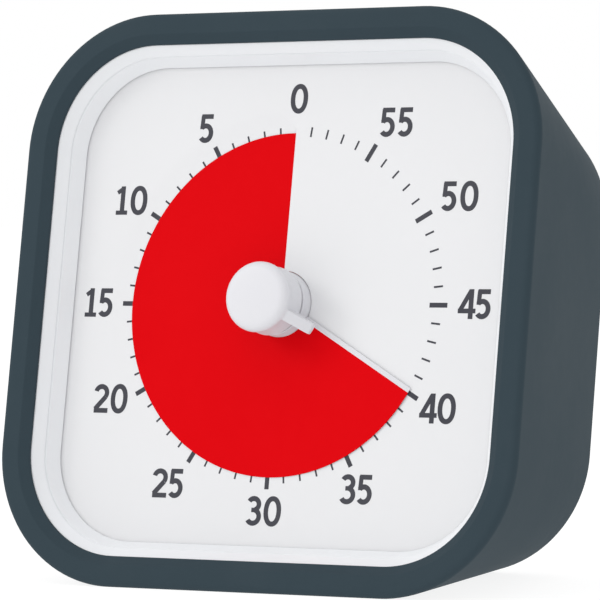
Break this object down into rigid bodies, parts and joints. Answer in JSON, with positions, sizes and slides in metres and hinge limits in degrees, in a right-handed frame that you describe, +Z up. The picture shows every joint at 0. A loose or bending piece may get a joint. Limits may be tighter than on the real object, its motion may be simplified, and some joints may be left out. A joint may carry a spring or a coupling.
{
  "type": "kitchen timer",
  "caption": "Square desk and kitchen visual timer: soft tapered cover, numbered dial, winding red disk, centre knob, clockwork drive, sounder and battery bay.",
  "frame": {"origin": "middle of the footprint on the surface that the timer stands on, under its bounding box's centre", "axes": "+X to the right seen from the front, +Y towards the back, +Z up"},
  "size_m": [0.0912, 0.0582, 0.0895],
  "materials": {
    "silicone": "soft matte silicone",
    "white_abs": "fine satin moulding",
    "dial_card": "smooth printed plastic sheet",
    "red_film": "smooth coloured film",
    "grey_abs": "plain moulding",
    "movement_shell": "plain moulding",
    "acetal": "moulded gear plastic",
    "steel": "plain steel",
    "spring_steel": "plated spring steel",
    "brass": "turned brass",
    "soft_iron": "punched plate",
    "magnet": "pressed magnet",
    "copper": "enamelled wire",
    "cam_plastic": "moulded plastic",
    "cell_wrap": "printed shrink sleeve",
    "board": "solder-masked laminate",
    "chip": "moulded epoxy",
    "ceramic": "silvered ceramic",
    "switch_black": "moulded plastic",
    "red_sleeve": "wire insulation",
    "black_sleeve": "wire insulation"
  },
  "bodies": {
    "case": {"silicone_cover": "silicone", "front_housing": "white_abs", "rear_housing": "white_abs", "dial_plate": "dial_card", "chassis_plate": "grey_abs", "shaft_bushing": "brass", "bushing_nut": "brass", "movement_case_front": "movement_shell", "movement_case_rear": "movement_shell", "stator_plate": "soft_iron", "coil_core": "soft_iron", "coil_bobbin": "acetal", "coil_winding": "copper", "contact_block": "grey_abs", "signal_leaf": "brass", "common_leaf": "brass", "battery": "cell_wrap", "battery_plate": "spring_steel", "battery_spring": "spring_steel", "circuit_board": "board", "ic_chip": "chip", "quartz_crystal": "steel", "switch_body": "movement_shell", "buzzer_case": "grey_abs", "buzzer_disc": "brass", "piezo_ceramic": "ceramic", "case_screws": "steel", "movement_screws": "steel", "board_screws": "steel", "coil_lead_start": "red_sleeve", "coil_lead_end": "black_sleeve", "contact_lead_signal": "red_sleeve", "contact_lead_common": "black_sleeve", "battery_lead_negative": "black_sleeve", "battery_lead_positive": "red_sleeve", "buzzer_lead_signal": "red_sleeve", "buzzer_lead_common": "black_sleeve"},
    "spindle": {"knob": "white_abs", "drive_shaft": "steel", "clutch_spring": "steel", "retaining_clip": "steel", "contact_cam": "cam_plastic"},
    "disk": {"red_disk": "red_film", "disk_edge_strip": "white_abs", "disk_hub": "white_abs"},
    "output_gear": {"output_wheel": "acetal"},
    "third_gear": {"third_wheel": "acetal"},
    "second_gear": {"second_wheel": "acetal"},
    "first_gear": {"first_wheel": "acetal"},
    "rotor": {"rotor_pinion": "acetal", "rotor_magnet": "magnet"},
    "door": {"battery_door": "white_abs"},
    "switch_lever": {"sound_switch": "switch_black"}
  },
  "joints": [
    {"name": "dial_turn", "type": "hinge", "parent": "case", "child": "spindle", "pos_m": [0, -0.01439, 0.04369], "axis": [0, -0.9814, 0.1918], "range_deg": [-240, 120]},
    {"name": "disk_feed", "type": "slide", "parent": "spindle", "child": "disk", "axis": [0, -0.9814, 0.1918], "range_m": [-0.0005433, 0.0002767]},
    {"name": "rotor_spin", "type": "hinge", "parent": "case", "child": "rotor", "pos_m": [0.00753, -0.01237, 0.05401], "axis": [0, -0.9814, 0.1918], "continuous": true},
    {"name": "first_wheel_turn", "type": "hinge", "parent": "case", "child": "first_gear", "pos_m": [0.00301, -0.01268, 0.0524], "axis": [0, -0.9814, 0.1918], "continuous": true},
    {"name": "second_wheel_turn", "type": "hinge", "parent": "case", "child": "second_gear", "pos_m": [-0.00259, -0.01268, 0.0524], "axis": [0, -0.9814, 0.1918], "continuous": true},
    {"name": "third_wheel_turn", "type": "hinge", "parent": "case", "child": "third_gear", "pos_m": [-0.00779, -0.01352, 0.04811], "axis": [0, -0.9814, 0.1918], "continuous": true},
    {"name": "output_wheel_turn", "type": "hinge", "parent": "case", "child": "output_gear", "pos_m": [0, -0.01439, 0.04369], "axis": [0, -0.9814, 0.1918], "continuous": true},
    {"name": "battery_door_slide", "type": "slide", "parent": "case", "child": "door", "axis": [0, 0.9814, -0.1918], "range_m": [0, 0.025]},
    {"name": "sound_switch_slide", "type": "slide", "parent": "case", "child": "switch_lever", "axis": [1, 0, 0], "range_m": [0, 0.003]}
  ],
  "couplings": [
    {"joint": "disk_feed", "follows": "dial_turn", "m_per_rad": 0.00012732},
    {"joint": "first_wheel_turn", "follows": "rotor_spin", "ratio": -0.2},
    {"joint": "second_wheel_turn", "follows": "rotor_spin", "ratio": 0.033333},
    {"joint": "third_wheel_turn", "follows": "rotor_spin", "ratio": -0.0044444},
    {"joint": "output_wheel_turn", "follows": "rotor_spin", "ratio": 0.00055556}
  ]
}
